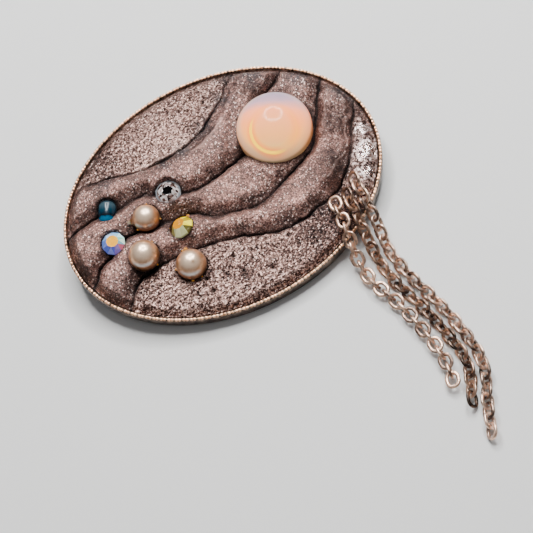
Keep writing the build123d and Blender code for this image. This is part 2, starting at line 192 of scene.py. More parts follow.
LINK_LENGTH, LINK_WIDTH, LINK_WIRE, LINK_THICKNESS = 2.236, 1.84, 0.44, 0.36
LINK_TURNS, LINK_SIDES, LINK_SQUARENESS = 40, 12, 0.7

# Clay beside the set pieces: how dark the painted shade round them is and how far that reaches,
# and the low collar round the pearls and stones, with its height, its width and its distance
MOON_SEAT_SHADE, PEARL_SEAT_SHADE, STONE_SEAT_SHADE, BEAD_SEAT_SHADE = (0.7, 0.5), (1.0, 0.35), (0.9, 0.25), (1.0, 0.35)
PEARL_COLLAR, STONE_COLLAR = (0.06, 0.25, 0.3), (0.08, 0.2, 0.2)

# Sides of the round pieces, and the points of their profiles
MOON_SIDES, SHOULDER_POINTS, DOME_POINTS = 144, 20, 72
PEARL_SIDES, PEARL_POINTS, BEAD_SIDES, BEAD_POINTS, DROP_SIDES, DROP_POINTS = 72, 41, 48, 16, 14, 9

# Pale painted reflection on the viewer's side of a pearl, as shares of its radius: its height with
# its spread, and how far towards the viewer it begins and how soon it is full
SHEEN_HEIGHT, SHEEN_SPREAD, SHEEN_START, SHEEN_REACH = 0.50, 0.13, 0.45, 0.35

# Headings in the brooch's plane of the photograph's lower, upper and right edge
VIEW_DOWN, VIEW_UP, VIEW_RIGHT = -115.8, 64.2, -25.8

# Grain of the clay's powder: flakes on the folds, flakes in the crescents and facets of the foil,
# and the middle tone of the crescents
FLAKE_SIZE, CRUMB_FLAKE_SIZE, FOIL_FACET_SIZE, CRUMB_MIDDLE = 0.12, 0.17, 0.34, 0.54

# The moon's painted glow of a caustic ring, as shares of the moon's radius: its middle, its radius,
# the half width of its line and the radius and half width of the painted warm halo round it
RING_RIGHT, RING_UP = 0.04, -0.25
RING_RADIUS, RING_SPREAD, HALO_RADIUS, HALO_SPREAD = 0.60, 0.04, 0.59, 0.1414

# Metal of each strand where it is dirty and where it is rubbed
STRANDS = {
    "chain_left": ((0.17, 0.115, 0.092), (1.0, 0.66, 0.48)),
    "chain_middle": ((0.046, 0.034, 0.029), (0.62, 0.41, 0.30)),
    "chain_right": ((0.10, 0.073, 0.062), (0.93, 0.64, 0.49)),
}

# Light: a ring light, and a sky that is brighter above. The light's place and size and the floor's
# size are in metres.
LIGHT_PLACE, LIGHT_SIZE, LIGHT_POWER, LIGHT_HOLE = (0.069, 0.143, 0.254), 0.190, 5.6, 0.80
SKY = [
    (0.0, (0.30, 0.30, 0.31)), (0.5, (0.42, 0.42, 0.43)), (0.75, (0.80, 0.80, 0.82)),
    (1.0, (1.10, 1.10, 1.12)),
]
SKY_STRENGTH = 0.33
FLOOR_SIZE, FLOOR_COLOUR = 3.0, (0.80, 0.80, 0.79)

# Camera: it is rolled, as the one that took the photograph was. Its clipping is in metres.
CAMERA_DISTANCE, CAMERA_AIM, CAMERA_LENS = 220.0, (0.56, 4.09, 0.0), 119.8
CAMERA_AZIMUTH, CAMERA_ELEVATION, CAMERA_ROLL = -5.15, 60.07, 22.7
CAMERA_CLIP = 0.005, 5.0


class Term:
    """A value or vector in a node tree that takes part in arithmetic."""

    def __init__(self, nodes, socket):
        self.nodes = nodes
        self.socket = socket

    def math(self, operation, *others):
        inputs = dict(enumerate((self, *others)))
        return self.nodes.node("ShaderNodeMath", inputs, operation=operation)

    def __add__(self, other):
        return self.math("ADD", other)

    def __sub__(self, other):
        return self.math("SUBTRACT", other)

    def __mul__(self, other):
        return self.math("MULTIPLY", other)

    def __truediv__(self, other):
        return self.math("DIVIDE", other)

    def __pow__(self, other):
        return self.math("POWER", other)

    def __mod__(self, other):
        return self.math("MODULO", other)

    def __rsub__(self, other):
        return self.nodes.node("ShaderNodeMath", {0: other, 1: self}, operation="SUBTRACT")

    __radd__ = __add__
    __rmul__ = __mul__

    def least(self, other):
        return self.math("MINIMUM", other)

    def most(self, other):
        return self.math("MAXIMUM", other)

    def ramp(self, low, high, start=0.0, end=1.0):
        """Smooth step from start to end while the value goes from low to high."""
        inputs = {"Value": self, "From Min": low, "From Max": high, "To Min": start, "To Max": end}
        return self.nodes.node("ShaderNodeMapRange", inputs, interpolation_type="SMOOTHSTEP")

    def close_to(self, middle, spread):
        """1 where the value is the middle one, and 0 where it is a spread away from it."""
        away = self - middle
        return 1.0 - (away * away / spread**2).least(1.0)


class Nodes:
    """A node tree and the one way in which its nodes are added."""

    def __init__(self, tree):
        self.tree = tree

    def node(self, kind, inputs=(), output=0, stops=None, **settings):
        """A node of that kind: its settings and stops first, then the values or links of its sockets."""
        made = self.tree.nodes.new(kind)
        for name, value in settings.items():
            setattr(made, name, value)
        if stops:
            elements = made.color_ramp.elements
            while len(elements) < len(stops):
                elements.new(0.5)
            for element, (place, colour) in zip(elements, stops):
                element.position = place
                element.color = (*colour, 1.0)
        for key, value in dict(inputs).items():
            self.feed(made.inputs[key], value)
        return Term(self, made.outputs[output]) if made.outputs else None

    def feed(self, socket, value):
        if isinstance(value, Term):
            self.tree.links.new(value.socket, socket)
        elif socket.type == "RGBA":
            socket.default_value = (*value, 1.0)
        else:
            socket.default_value = value


class Finish(Nodes):
    """A material, and the nodes that finishes are made of."""

    def __init__(self, name):
        self.material = bpy.data.materials.new(name)
        self.material.use_nodes = True
        super().__init__(self.material.node_tree)
        self.tree.nodes.clear()

    def place(self):
        """Object coordinates, in metres."""
        return self.node("ShaderNodeTexCoord", output="Object")

    def vector(self, operation, *values, output=0):
        return self.node("ShaderNodeVectorMath", dict(enumerate(values)), output, operation=operation)

    def along(self, middle, heading, size):
        """How far each place is from a middle along a direction of the brooch, as a share of size."""
        away = self.vector("SUBTRACT", self.place(), tuple(to_part(middle) * MM))
        return self.vector("DOT_PRODUCT", away, tuple(BROOCH_TURN @ heading), output=1) / (size * MM)

    def part(self, vector, axis):
        return self.node("ShaderNodeSeparateXYZ", {0: vector}, "XYZ".index(axis))

    def mix(self, share, first, second, blend_type="MIX"):
        inputs = {0: share, 6: first, 7: second}
        return self.node("ShaderNodeMix", inputs, 2, data_type="RGBA", blend_type=blend_type)

    def over(self, base, *layers):
        """Colours laid over a base one after the other, each with its share before it."""
        for share, colour in layers:
            base = self.mix(share, base, colour)
        return base

    def noise(self, size, detail=2.0, roughness=0.5, place=None):
        """Cloudy noise whose lumps are about size millimetres."""
        inputs = {"Vector": place or self.place(), "Scale": 1 / (size * MM), "Detail": detail,
                  "Roughness": roughness}
        return self.node("ShaderNodeTexNoise", inputs, "Fac")

    def cells(self, size, place=None):
        """Cells of about size millimetres, each with a colour by chance."""
        inputs = {"Vector": place or self.place(), "Scale": 1 / (size * MM)}
        return self.node("ShaderNodeTexVoronoi", inputs, "Color")

    def ramp(self, value, stops):
        return self.node("ShaderNodeValToRGB", {0: value}, stops=stops)

    def attribute(self, name, output="Fac"):
        return self.node("ShaderNodeAttribute", output=output, attribute_name=name)

    def attributes(self, names):
        return [self.attribute(name) for name in names.split()]

    def bump(self, height, distance, strength=1.0):
        inputs = {"Height": height, "Distance": distance * MM, "Strength": strength}
        return self.node("ShaderNodeBump", inputs)

    def shader(self, **inputs):
        """Ends the tree in one Principled shader. Underscores in the names stand for spaces."""
        named = {name.replace("_", " "): value for name, value in inputs.items()}
        surface = self.node("ShaderNodeBsdfPrincipled", named)
        self.node("ShaderNodeOutputMaterial", {"Surface": surface})
        return self.material


class Growth(Nodes):
    """A Geometry Nodes tree with its named inputs."""

    kinds = {int: "NodeSocketInt", float: "NodeSocketFloat", tuple: "NodeSocketVector",
             bpy.types.Object: "NodeSocketObject"}

    def __init__(self, name, **values):
        super().__init__(bpy.data.node_groups.new(name, "GeometryNodeTree"))
        self.tree.interface.new_socket("Geometry", in_out="INPUT", socket_type="NodeSocketGeometry")
        self.tree.interface.new_socket("Geometry", in_out="OUTPUT", socket_type="NodeSocketGeometry")
        for label, value in values.items():
            self.tree.interface.new_socket(label, in_out="INPUT", socket_type=self.kinds[type(value)])
        self.values = values
        self.entry = self.tree.nodes.new("NodeGroupInput")
        self.exit = self.tree.nodes.new("NodeGroupOutput")

    def given(self, label):
        return Term(self, self.entry.outputs[label])

    def facing(self, up, along):
        """A turn after which Z points up and X points along."""
        upright = self.node("FunctionNodeAlignRotationToVector", {"Vector": up}, axis="Z")
        inputs = {"Rotation": upright, "Vector": along}
        return self.node("FunctionNodeAlignRotationToVector", inputs, axis="X", pivot_axis="Z")

    def instances(self, points, shape, rotation):
        inputs = {"Points": points, "Instance": shape, "Rotation": rotation}
        return self.node("GeometryNodeInstanceOnPoints", inputs)

    def finish(self, geometry, material):
        """Ends the tree: instances realized, and the material set."""
        real = self.node("GeometryNodeRealizeInstances", {0: geometry})
        done = self.node("GeometryNodeSetMaterial", {0: real, "Material": material})
        self.feed(self.exit.inputs[0], done)

    def grown(self, seed_object, name):
        """The plain mesh that the tree makes from an object, under a new name."""
        modifier = seed_object.modifiers.new("growth", "NODES")
        modifier.node_group = self.tree
        for item in self.tree.interface.items_tree:
            if item.in_out == "INPUT" and item.name in self.values:
                modifier[item.identifier] = self.values[item.name]
        depsgraph = bpy.context.evaluated_depsgraph_get()
        mesh = bpy.data.meshes.new_from_object(seed_object.evaluated_get(depsgraph))
        seed_object.modifiers.remove(modifier)
        bpy.data.objects.remove(seed_object)
        return new_object(name, mesh)


def new_object(name, data):
    data.name = name
    made = bpy.data.objects.new(name, data)
    bpy.context.scene.collection.objects.link(made)
    return made


def mesh_object(name, points, faces, material=None, smooth=True, edges=()):
    """A mesh from points in millimetres, in the part's own frame."""
    mesh = bpy.data.meshes.new(name)
    points = [tuple(point) for point in np.asarray(points, float) * MM]
    mesh.from_pydata(points, edges, [tuple(face) for face in faces])
    if material:
        mesh.materials.append(material)
    mesh.polygons.foreach_set("use_smooth", [smooth] * len(mesh.polygons))
    mesh.update()
    return new_object(name, mesh)


def add_marks(piece, marks):
    """Named values of a piece's corners, which its finish reads."""
    for name, values in marks.items():
        layer = piece.data.attributes.new(name, "FLOAT", "POINT")
        layer.data.foreach_set("value", values)


def settle(piece, slot, *nodes):
    """The piece rides on the brooch and stands for its nodes, which are hidden. The slot is not used."""
    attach(piece, "root")
    if nodes:
        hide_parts(*nodes)


def brooch_frame(tray):
    """The brooch's own frame: u along the oval, v across it and w square to its back."""
    back = max((face for face in tray.data.polygons if face.normal.z < 0), key=lambda face: face.area)
    turn = Matrix.Rotation(math.atan2(back.normal.y, -back.normal.z), 4, "X")
    flat = np.array([turn.inverted() @ v.co for v in tray.data.vertices])
    low, high = flat.min(0), flat.max(0)
    centre = Vector(((low[0] + high[0]) / 2, (low[1] + high[1]) / 2, low[2]))
    return Matrix.Translation(turn @ centre) @ turn


BROOCH = brooch_frame(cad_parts["tray"])
BROOCH_TURN = np.array(BROOCH.to_3x3())
BROOCH_ORIGIN = np.array(BROOCH.translation) / MM


def to_part(points):
    """Points from the brooch frame to the part's own frame, in millimetres."""
    return np.asarray(points, float) @ BROOCH_TURN.T + BROOCH_ORIGIN


def node_points(node):
    """Corners of a node's mesh, in the part's own frame, in millimetres."""
    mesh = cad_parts[node].data
    points = np.zeros(3 * len(mesh.vertices))
    mesh.vertices.foreach_get("co", points)
    return points.reshape(-1, 3) / MM


def direction(heading):
    """A direction in the brooch's plane from its heading in degrees."""
    return np.array([math.cos(math.radians(heading)), math.sin(math.radians(heading)), 0.0])


def turned(turn=0.0, tilt=0.0):
    """Turn about w after a tilt about u, in degrees, as a 3 by 3 array."""
    turn, tilt = math.radians(turn), math.radians(tilt)
    return np.array(Matrix.Rotation(turn, 3, "Z") @ Matrix.Rotation(tilt, 3, "X"))


def seat_of(node, turn=0.0, tilt=0.0):
    """A set piece's own axes in the brooch frame, and its lowest and highest corner along them."""
    axes = turned(turn, tilt)
    points = (node_points(node) - BROOCH_ORIGIN) @ BROOCH_TURN @ axes
    return axes, points.min(0), points.max(0)


def ring_faces(rings, size, joined=False):
    """Quads between rings of points of one size, joined from the last to the first if asked."""
    k = np.arange(size)
    n = (k + 1) % size
    faces = []
    for ring in range(rings if joined else rings - 1):
        near, far = ring * size, (ring + 1) % rings * size
        faces += list(zip(near + k, near + n, far + n, far + k))
    return faces


def smooth(value):
    """Smooth step from 0 to 1 while value goes from 0 to 1."""
    value = np.clip(value, 0, 1)
    return value * value * (3 - 2 * value)


def bell(value):
    """1 at 0, falling softly to nearly 0 at 2."""
    return np.exp(-value * value)


def random_share(i, j, seed):
    """Random values from 0 to 1, one for each cell."""
    return np.modf(np.abs(np.sin(i * 12.9898 + j * 78.233 + seed * 37.719) * 43758.5453))[0]


def lumps(u, v, size, seed):
    """Soft random values from 0 to 1 whose lumps are about size millimetres."""
    heading = seed * 1.3
    x = (u * math.cos(heading) - v * math.sin(heading)) / size
    y = (u * math.sin(heading) + v * math.cos(heading)) / size
    i, j = np.floor(x), np.floor(y)
    across, along = smooth(x - i), smooth(y - j)
    near = random_share(i, j, seed) * (1 - across) + random_share(i + 1, j, seed) * across
    far = random_share(i, j + 1, seed) * (1 - across) + random_share(i + 1, j + 1, seed) * across
    return near * (1 - along) + far * along


def crumbs(u, v, size, seed):
    """Grains about size millimetres across: their height from 0 to 1."""
    i, j = np.floor(u / size), np.floor(v / size)
    nearest = np.full(u.shape, np.inf)
    tallness = np.zeros(u.shape)
    for di in (-1, 0, 1):
        for dj in (-1, 0, 1):
            a, b = i + di, j + dj
            middle_u = (a + random_share(a, b, seed)) * size
            middle_v = (b + random_share(a, b, seed + 1)) * size
            distance = np.hypot(u - middle_u, v - middle_v) / size
            nearer = distance < nearest
            nearest = np.where(nearer, distance, nearest)
            tallness = np.where(nearer, random_share(a, b, seed + 2), tallness)
    return np.clip(1 - nearest * nearest, 0, 1) * (LOWEST_CRUMB + (1 - LOWEST_CRUMB) * tallness)


def curve_through(points, parts=6):
    """A smooth line through points given as shares of the tray, in millimetres."""
    points = np.array(points, float) * (HALF_LENGTH, HALF_WIDTH)
    before = np.vstack([2 * points[0] - points[1], points[:-2]])
    after = np.vstack([points[2:], 2 * points[-1] - points[-2]])
    line = [points[0]]
    for p0, p1, p2, p3 in zip(before, points[:-1], points[1:], after):
        for t in np.arange(1, parts + 1) / parts:
            line.append(0.5 * (2 * p1 + (p2 - p0) * t + (2 * p0 - 5 * p1 + 4 * p2 - p3) * t**2
                               + (3 * p1 - p0 - 3 * p2 + p3) * t**3))
    return np.array(line)


def near_line(line, u, v):
    """For each point its distance from a line, the side it lies on and how far along it is."""
    best, side, along = np.full(u.shape, np.inf), np.ones(u.shape), np.zeros(u.shape)
    for k, ((u0, v0), (u1, v1)) in enumerate(zip(line, line[1:])):
        du, dv = u1 - u0, v1 - v0
        share = np.clip(((u - u0) * du + (v - v0) * dv) / (du * du + dv * dv), 0, 1)
        away_u, away_v = u - u0 - share * du, v - v0 - share * dv
        distance = np.hypot(away_u, away_v)
        nearer = distance < best
        best = np.where(nearer, distance, best)
        side = np.where(nearer, np.sign(du * away_v - dv * away_u), side)
        along = np.where(nearer, (k + share) / (len(line) - 1), along)
    return best, side, along


# Set pieces in their seats: their axes and their box along them, in the brooch frame
MOON = seat_of("moon_cabochon")
MOON_MIDDLE = (MOON[1] + MOON[2]) / 2
PEARLS = {name: seat_of(name) for name in ("pearl_upper", "pearl_left", "pearl_lower")}
STONES = {
    "clear_stone": seat_of("clear_stone"),
    "rainbow_stone": seat_of("rainbow_stone"),
    "yellow_stone": seat_of("yellow_stone", YELLOW_TURN, YELLOW_TILT),
}
BEAD = seat_of("teal_bead", BEAD_HEADING)


def pearl_middle(name):
    """Centre and radius of a pearl. The nib of the upper one points to its left and is left out."""
    _, low, high = PEARLS[name]
    radius = (high[2] - low[2]) / 2
    middle = (low + high) / 2
    middle[0] = high[0] - radius
    return middle, radius


def stone_middle(name):
    """Middle of a cut stone's girdle, its axes and its radius."""
    axes, low, high = STONES[name]
    middle = (low + high) / 2
    middle[2] = high[2] - CROWN_HEIGHT
    return axes @ middle, axes, (high[0] - low[0]) / 2


def away_from(u, v, place):
    """Distance of each point from a place given as shares of the tray."""
    return np.hypot(u - place[0] * HALF_LENGTH, v - place[1] * HALF_WIDTH)


def from_moon(u, v):
    """Distance of each point from the moon's edge, under 0 inside it."""
    return np.hypot(u - MOON_MIDDLE[0], v - MOON_MIDDLE[1]) - MOON_DIAMETER / 2


def sway(u, v, seed):
    """How far a line drawn by hand strays to one side or the other, in millimetres."""
    return WAVER * (lumps(u, v, LONG_WAVE, seed) + 0.5 * lumps(u, v, SHORT_WAVE, seed + 1) - 0.75)


def carve(u, v, sway_u, sway_v, wander):
    """The folds' rise, what the grooves and dents cut from it, and the marks of the grooves; hollow is
    the painted shade along them.
    """
    rise, cut = np.full(u.shape, FOLD_RISE), np.zeros(u.shape)
    crease, rough, hollow = (np.zeros(u.shape) for _ in range(3))
    for groove in GROOVES.values():
        distance, side, _ = near_line(curve_through(groove["line"]), u + sway_u, v + sway_v)
        slow = side == groove["falls"]
        reach = groove["spread"] * np.where(slow, SLOW_SIDE, STEEP_SIDE)
        shadow = bell(distance / reach / np.where(slow, SLOW_SHADOW, STEEP_SHADOW))
        cut = np.maximum(cut, groove["depth"] * bell(distance / reach))
        # crease cuts the surface, and the finish also paints it nearly black as painted shade in the
        # crease
        crease = np.maximum(crease, groove["cut"] * wander * bell(distance / CREASE_WIDTH))
        # hollow: painted shade along the groove, reaching further on the side where the fold falls slowly
        hollow = np.maximum(hollow, groove["cut"] / FULL_CUT * shadow)
        if "outer" in groove:
            outside = side == groove["outer"]
            rise -= groove["drop"] * smooth(distance / groove["spread"]) * outside
            rough = np.maximum(rough, smooth(distance / CRESCENT_START) * outside)
    for dent in DENTS:
        cut += dent["depth"] * bell(away_from(u, v, dent["place"]) / dent["radius"])
    cut += MOON_BED_DEPTH * bell(np.maximum(from_moon(u, v), 0) / MOON_BED_WIDTH)
    return rise, cut, crease, rough, hollow


def clay_levels(u, v):
    """The clay's surface over u, v, and what its finish needs to know of each place."""
    edge = np.hypot(u / CLAY_HALF_LENGTH, v / CLAY_HALF_WIDTH)
    inwards = (1 - edge) * CLAY_HALF_WIDTH
    inside = smooth(inwards / CLAY_EDGE_WIDTH)
    wander = SHALLOW + SHALLOW_TO_DEEP * lumps(u, v, DEPTH_SIZE, seed=21)
    sway_u, sway_v = sway(u, v, seed=41), sway(u, v, seed=43)
    rise, cut, crease, rough, hollow = carve(u, v, sway_u, sway_v, wander)
    bed = TRAY_HEIGHT + CLAY_CROWN * (1 - edge * edge) - CLAY_EDGE_DROP
    surface = bed + inside * (CLAY_EDGE_DROP + rise - cut)
    # lip: a painted highlight along the crests of the raised ridges
    lip = np.zeros(u.shape)
    for ridge in RIDGES:
        distance, _, along = near_line(curve_through(ridge["line"]), u + 2 * sway_u, v + 2 * sway_v)
        ends = smooth(along / RIDGE_END) * smooth((1 - along) / RIDGE_END)
        surface += ridge["height"] * ends * bell(distance / ridge["spread"])
        if ridge["height"] > 0:
            lip = np.maximum(lip, ends * wander * bell(distance / ridge["spread"]))
    for size, seed, height in SWELLS:
        surface += inside * (lumps(u, v, size, seed) - 0.5) * height
    marks = {name: patches(u, v, places) for name, places in PLACES.items()}
    marks["foil"] *= rough
    marks["gloss"] *= rough
    foil = marks["foil"]
    grain = 0.65 * crumbs(u, v, CRUMB_SIZE, seed=11) + 0.35 * crumbs(u, v, CRUMB_SIZE / 2, seed=17)
    grain = 0.5 + (grain - 0.5) * np.where(v > 0, FINE_SHARE, 1.0)
    crumple = crumbs(u, v, CRUMPLE_SIZE, seed=31)
    surface += inside * rough * (1 - foil) * CRUMB_RISE * (grain - 0.5)
    surface += inside * foil * CRUMPLE_RISE * (crumple - 0.5 + CRUMPLE_GRAIN * (grain - 0.5))
    for place in PITS:
        pit = bell(away_from(u, v, place) / PIT_RADIUS)
        surface -= PIT_DEPTH * pit
        # Pits join the crease, so they get the painted shade of the creases too
        crease = np.maximum(crease, PIT_CREASE * pit)
    surface -= inside * crease
    # The painted shadow inside the tray's rim joins the painted shade in hollow
    hollow = np.maximum(hollow, RIM_SHADOW * (1 - smooth(inwards / RIM_SHADOW_WIDTH)))
    contrast = np.where(v > 0, FINE_CONTRAST, 1.0)
    marks.update(rough=rough, grain=grain, contrast=contrast, crease=crease, hollow=hollow, lip=lip)
    return surface, marks


def patches(u, v, places):
    """How much of a finish each point gets from its round places."""
    share = np.zeros(u.shape)
    for *place, radius in places:
        share = np.maximum(share, bell(away_from(u, v, place) / radius))
    return share


def ring_of(distance, height, width, middle=0.0):
    """A soft ring of that height and width, highest where the distance is the middle one."""
    return height * bell((distance - middle) / width)


def pulled_to_circle(u, v, middle, radius, reach):
    """Corners close to a circle are moved onto it."""
    du, dv = u - middle[0], v - middle[1]
    away = np.hypot(du, dv)
    near = np.abs(away - radius) < reach
    scale = np.where(near, radius / np.maximum(away, 1e-9), 1.0)
    return middle[0] + du * scale, middle[1] + dv * scale


def seated(u, v, surface):
    """The surface brought down under every set piece, and the painted shade round each one."""
    away = from_moon(u, v)
    # pocket: painted shade on the clay round each set piece
    pocket = ring_of(away, *MOON_SEAT_SHADE)
    surface = np.where(away < -SEAT_EDGE, MOON[1][2] - SEAT_GAP, surface)
    for name in PEARLS:
        middle, radius = pearl_middle(name)
        away = np.hypot(u - middle[0], v - middle[1])
        pocket = np.maximum(pocket, ring_of(away - radius, *PEARL_SEAT_SHADE))
        surface = surface + ring_of(away - radius, *PEARL_COLLAR)
        bowl = middle[2] - np.sqrt(np.maximum((radius + SEAT_GAP) ** 2 - away * away, 0))
        surface = np.where(away < radius + SEAT_GAP, np.minimum(surface, bowl), surface)
    for name in STONES:
        middle, axes, radius = stone_middle(name)
        level = middle[2] - (axes[0, 2] * (u - middle[0]) + axes[1, 2] * (v - middle[1])) / axes[2, 2]
        place = np.stack([u - middle[0], v - middle[1], level - middle[2]])
        own = np.tensordot(axes.T, place, 1)
        away = np.hypot(own[0], own[1])
        pocket = np.maximum(pocket, ring_of(away - radius, *STONE_SEAT_SHADE))
        surface = surface + ring_of(away - radius, *STONE_COLLAR)
        under = level - STONE_GIRDLE - SEAT_GAP - BACK_HEIGHT * np.clip(1 - away / radius, 0, 1 - CULET)
        surface = np.where(away < radius, np.minimum(surface, under), surface)
    axes, low, high = BEAD
    middle, half = (low + high) / 2, (high - low) / 2
    own = np.tensordot(axes.T[:2, :2], np.stack([u, v]), 1)
    along, across = np.abs(own[0] - middle[0]), np.abs(own[1] - middle[1])
    reach = ((along / half[0]) ** 3 + (across / half[1]) ** 3) ** (1 / 3)
    pocket = np.maximum(pocket, ring_of(reach - 1, *BEAD_SEAT_SHADE))
    hollow = middle[2] - np.sqrt(np.maximum((half[1] + SEAT_GAP) ** 2 - across * across, 0))
    return np.where(reach < BEAD_SEAT, np.minimum(surface, hollow), surface), pocket


def border(grid):
    """The entries of a grid's outer edge, one after the other all the way round."""
    return np.concatenate([grid[:-1, 0], grid[-1, :-1], grid[:0:-1, -1], grid[0, :0:-1]])


def make_clay(material):
    """The clay: a grid over the tray's oval, with a skirt down to its floor."""
    x = np.linspace(-1, 1, CLAY_COLUMNS + 1)[:, None]
    y = np.linspace(-1, 1, CLAY_ROWS + 1)[None, :]
    u = CLAY_HALF_LENGTH * x * np.sqrt(1 - y * y / 2)
    v = CLAY_HALF_WIDTH * y * np.sqrt(1 - x * x / 2)
    reach = SEAT_PULL * 2 * CLAY_HALF_LENGTH / CLAY_COLUMNS
    u, v = pulled_to_circle(u, v, MOON_MIDDLE, MOON_DIAMETER / 2, reach)
    for name in ("clear_stone", "rainbow_stone"):
        middle, _, radius = stone_middle(name)
        u, v = pulled_to_circle(u, v, middle, radius, reach)
    surface, marks = clay_levels(u, v)
    surface, marks["pocket"] = seated(u, v, surface)
    top = np.stack([u, v, surface], -1)
    foot = border(top) * (1, 1, 0) + (0, 0, TRAY_FLOOR + CLAY_FOOT_GAP)
    size = CLAY_ROWS + 1
    i, j = np.meshgrid(np.arange(CLAY_COLUMNS), np.arange(CLAY_ROWS), indexing="ij")
    a = (i * size + j).ravel()
    faces = np.stack([a, a + size, a + size + 1, a + 1], -1).tolist()
    edge = border(np.arange(top.shape[0] * size).reshape(-1, size))
    low = top.shape[0] * size + np.arange(len(edge))
    faces += np.stack([edge, low, np.roll(low, -1), np.roll(edge, -1)], -1).tolist()
    faces.append(low[::-1].tolist())
    clay = mesh_object("clay_folds", to_part(np.vstack([top.reshape(-1, 3), foot])), faces, material)
    add_marks(clay, {name: np.concatenate([values.ravel(), np.zeros(len(edge))])
                     for name, values in marks.items()})
    settle(clay, "metal_clay", "clay")


def oval(inset, level, turns):
    """A ring of points on the tray's oval, some way in from its outline."""
    return np.stack([(HALF_LENGTH - inset) * np.cos(turns), (HALF_WIDTH - inset) * np.sin(turns),
                     np.full(turns.shape, level)], -1)


def make_tray(material):
    """The tray's floor and wall, with the narrow band on which the teeth stand."""
    turns = np.linspace(0, 2 * np.pi, TRAY_TURNS, endpoint=False)
    corner = [(TRAY_CORNER * (1 - math.sin(t)), TRAY_CORNER * (1 - math.cos(t)))
              for t in np.linspace(0, math.pi / 2, 6)]
    top = TRAY_HEIGHT - TOOTH_RISE
    profile = corner + [(0.0, top - 0.08), (0.03, top - 0.02), (0.08, top), (BAND_WIDTH - 0.06, top),
                        (BAND_WIDTH, top - 0.05), (BAND_WIDTH, top - BAND_STEP),
                        (TRAY_WALL, top - BAND_STEP), (TRAY_WALL, TRAY_FLOOR)]
    rings = [oval(inset + TRAY_SKIN, level, turns) for inset, level in profile]
    faces = ring_faces(len(rings), len(turns))
    last = (len(rings) - 1) * len(turns)
    faces.append(list(range(len(turns)))[::-1])
    faces.append(list(range(last, last + len(turns))))
    settle(mesh_object("tray_metal", to_part(np.vstack(rings)), faces, material), "setting_metal", "tray")


def make_teeth(material):
    """The milled teeth round the top of the wall, in pairs."""
    turns = np.linspace(0, 2 * np.pi, TOOTH_LINE_TURNS, endpoint=False)
    ring = oval(BAND_WIDTH / 2, TRAY_HEIGHT - TOOTH_RISE, turns)
    length = np.linalg.norm(ring - np.roll(ring, 1, 0), axis=1).sum()
    edges = [(k, (k + 1) % len(turns)) for k in range(len(turns))]
    line = mesh_object("tooth line", to_part(ring), [], edges=edges)
    growth = Growth(
        "milled teeth",
        Teeth=2 * round(length / TOOTH_PITCH / 2),
        Up=tuple(BROOCH_TURN[:, 2]),
        Size=(TOOTH_LENGTH * MM, TOOTH_WIDTH * MM, 2 * TOOTH_RISE * MM),
        Pairing=TOOTH_PAIRING * MM,
    )
    curve = growth.node("GeometryNodeMeshToCurve", {0: growth.given("Geometry")})
    points = growth.node("GeometryNodeResampleCurve", {"Curve": curve, "Count": growth.given("Teeth")})
    tangent = growth.node("GeometryNodeInputTangent")
    second = growth.node("GeometryNodeInputIndex") % 2.0
    shift = (second - 0.5) * growth.given("Pairing")
    offset = growth.node("ShaderNodeVectorMath", {0: tangent, "Scale": shift}, operation="SCALE")
    paired = growth.node("GeometryNodeSetPosition", {0: points, "Offset": offset})
    facing = growth.facing(growth.given("Up"), tangent)
    block = growth.node("GeometryNodeMeshCube", {"Vertices X": 3, "Vertices Y": 3, "Vertices Z": 3})
    rounded = growth.node("GeometryNodeSubdivisionSurface", {"Mesh": block, "Level": 1})
    eased = growth.node("GeometryNodeSetShadeSmooth", {0: rounded})
    sized = growth.node("GeometryNodeTransform", {0: eased, "Scale": growth.given("Size")})
    growth.finish(growth.instances(paired, sized, facing), material)
    settle(growth.grown(line, "tray_teeth"), "setting_metal")


def lathe(profile, turns):
    """Rings of points round the Z axis from a profile of radii and heights, closed at both poles."""
    angles = np.linspace(0, 2 * np.pi, turns, endpoint=False)
    points = [(0.0, 0.0, profile[0][1])]
    for radius, height in profile[1:-1]:
        points += [(radius * math.cos(a), radius * math.sin(a), height) for a in angles]
    points.append((0.0, 0.0, profile[-1][1]))
    rings = len(profile) - 2
    faces = [(0, 1 + (k + 1) % turns, 1 + k) for k in range(turns)]
    faces += [tuple(1 + c for c in face) for face in ring_faces(rings, turns)]
    last, pole = 1 + (rings - 1) * turns, len(points) - 1
    faces += [(last + k, last + (k + 1) % turns, pole) for k in range(turns)]
    return np.array(points), faces


def half_turn(count):
    """Angles from a round's lowest point to its highest."""
    return np.linspace(-math.pi / 2, math.pi / 2, count)


def arc(radius, height, size, angles):
    """Radii and heights along a round of that size, whose centre is at that radius and height."""
    return [(radius + size * math.cos(angle), height + size * math.sin(angle)) for angle in angles]


def make_moon(material):
    """The cabochon: a low dome that turns into its girdle through a tight shoulder."""
    radius, dome = MOON_DIAMETER / 2, MOON_HEIGHT - MOON_GIRDLE
    crown = (radius**2 + dome**2 - 2 * radius * MOON_SHOULDER) / (2 * (dome - MOON_SHOULDER))
    reach, drop = radius - MOON_SHOULDER, crown - dome
    meeting = math.atan2(drop, reach)
    profile = [(0.0, 0.0), (radius - MOON_FOOT_BEVEL, 0.0), (radius, MOON_FOOT_BEVEL),
               (radius, MOON_GIRDLE / 2)]
    profile += arc(reach, MOON_GIRDLE, MOON_SHOULDER, np.linspace(0, meeting, SHOULDER_POINTS))
    dome_angles = np.linspace(meeting, math.pi / 2, DOME_POINTS)[1:-1]
    profile += arc(0.0, MOON_GIRDLE - drop, crown, dome_angles)
    profile.append((0.0, MOON_HEIGHT))
    points, faces = lathe(profile, MOON_SIDES)
    foot = (*MOON_MIDDLE[:2], MOON[1][2])
    moon = mesh_object("moon_opal", to_part(points + foot), faces, material)
    settle(moon, "opal_glass", "moon_cabochon")


